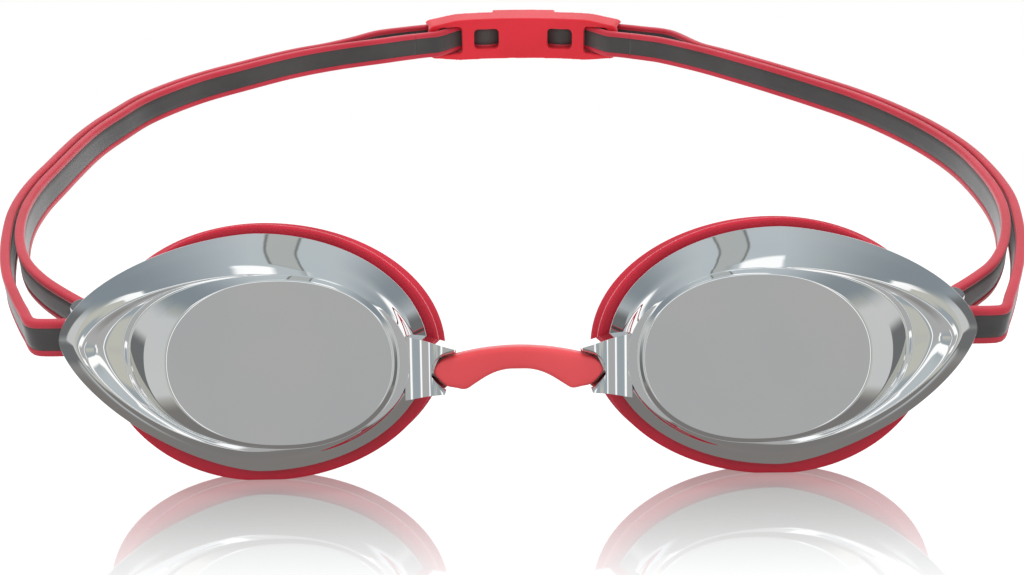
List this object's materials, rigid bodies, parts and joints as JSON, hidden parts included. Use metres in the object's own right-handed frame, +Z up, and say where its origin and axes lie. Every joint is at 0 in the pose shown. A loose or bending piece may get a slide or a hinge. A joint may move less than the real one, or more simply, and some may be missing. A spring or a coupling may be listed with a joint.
{
  "type": "swim goggles",
  "caption": "Racing swim goggles: mirrored lenses with strap wings, silicone gaskets, a snap-in nosepiece and a doubled two-colour strap held by a rear clip.",
  "frame": {"origin": "middle of the bounding box, on the surface that the gaskets stand on; the middle of the nosepiece is at x = 0", "axes": "+X to the right as seen from the front, +Y back towards the head, +Z up"},
  "size_m": [0.2048, 0.1674, 0.0994],
  "materials": {
    "mirrored_lens": "mirror coated",
    "gasket_silicone": "satin",
    "nosepiece_plastic": "satin",
    "strap_silicone": "satin",
    "clip_plastic": "satin"
  },
  "bodies": {
    "nosepiece": {"nosepiece": "nosepiece_plastic"},
    "left_cup": {"left_lens": "mirrored_lens", "left_gasket": "gasket_silicone"},
    "right_cup": {"right_lens": "mirrored_lens", "right_gasket": "gasket_silicone"},
    "left_bend": {"left_strap_bend": "strap_silicone"},
    "right_bend": {"right_strap_bend": "strap_silicone"},
    "left_strap": {"left_strap_outer": "strap_silicone", "left_strap_inner": "strap_silicone"},
    "right_strap": {"right_strap_outer": "strap_silicone", "right_strap_inner": "strap_silicone"},
    "strap_clip": {"strap_clip": "clip_plastic", "left_strap_end": "strap_silicone", "right_strap_end": "strap_silicone"}
  },
  "joints": [
    {"name": "left_socket", "type": "hinge", "parent": "nosepiece", "child": "left_cup", "pos_m": [-0.013, -0.07669, 0.0202], "axis": [0, 0, 1], "range_deg": [-4, 4]},
    {"name": "right_socket", "type": "hinge", "parent": "nosepiece", "child": "right_cup", "pos_m": [0.013, -0.07669, 0.0202], "axis": [0, 0, 1], "range_deg": [-4, 4]},
    {"name": "left_bar_swing", "type": "hinge", "parent": "left_cup", "child": "left_bend", "pos_m": [-0.075, -0.07068, 0.0264], "axis": [0, 0, 1], "range_deg": [-4, 4]},
    {"name": "right_bar_swing", "type": "hinge", "parent": "right_cup", "child": "right_bend", "pos_m": [0.075, -0.07068, 0.0264], "axis": [0, 0, 1], "range_deg": [-4, 4]},
    {"name": "left_strap_lift", "type": "hinge", "parent": "left_bend", "child": "left_strap", "pos_m": [-0.075, -0.07068, 0.0264], "axis": [1, 0, 0], "range_deg": [-20, 30]},
    {"name": "right_strap_lift", "type": "hinge", "parent": "right_bend", "child": "right_strap", "pos_m": [0.075, -0.07068, 0.0264], "axis": [1, 0, 0], "range_deg": [-20, 30]},
    {"name": "clip_slide", "type": "hinge", "parent": "left_strap", "child": "strap_clip", "pos_m": [0, -0.00537, 0.05548], "axis": [0, -0.4067, 0.9135], "range_deg": [-2.7, 2.7], "deforming": ["left_strap_end", "right_strap_end"]}
  ],
  "couplings": [
    {"joint": "right_socket", "follows": "left_socket", "ratio": -1},
    {"joint": "left_bar_swing", "follows": "left_socket", "ratio": -1},
    {"joint": "right_bar_swing", "follows": "left_socket", "ratio": 1},
    {"joint": "right_strap_lift", "follows": "left_strap_lift", "ratio": 1}
  ]
}
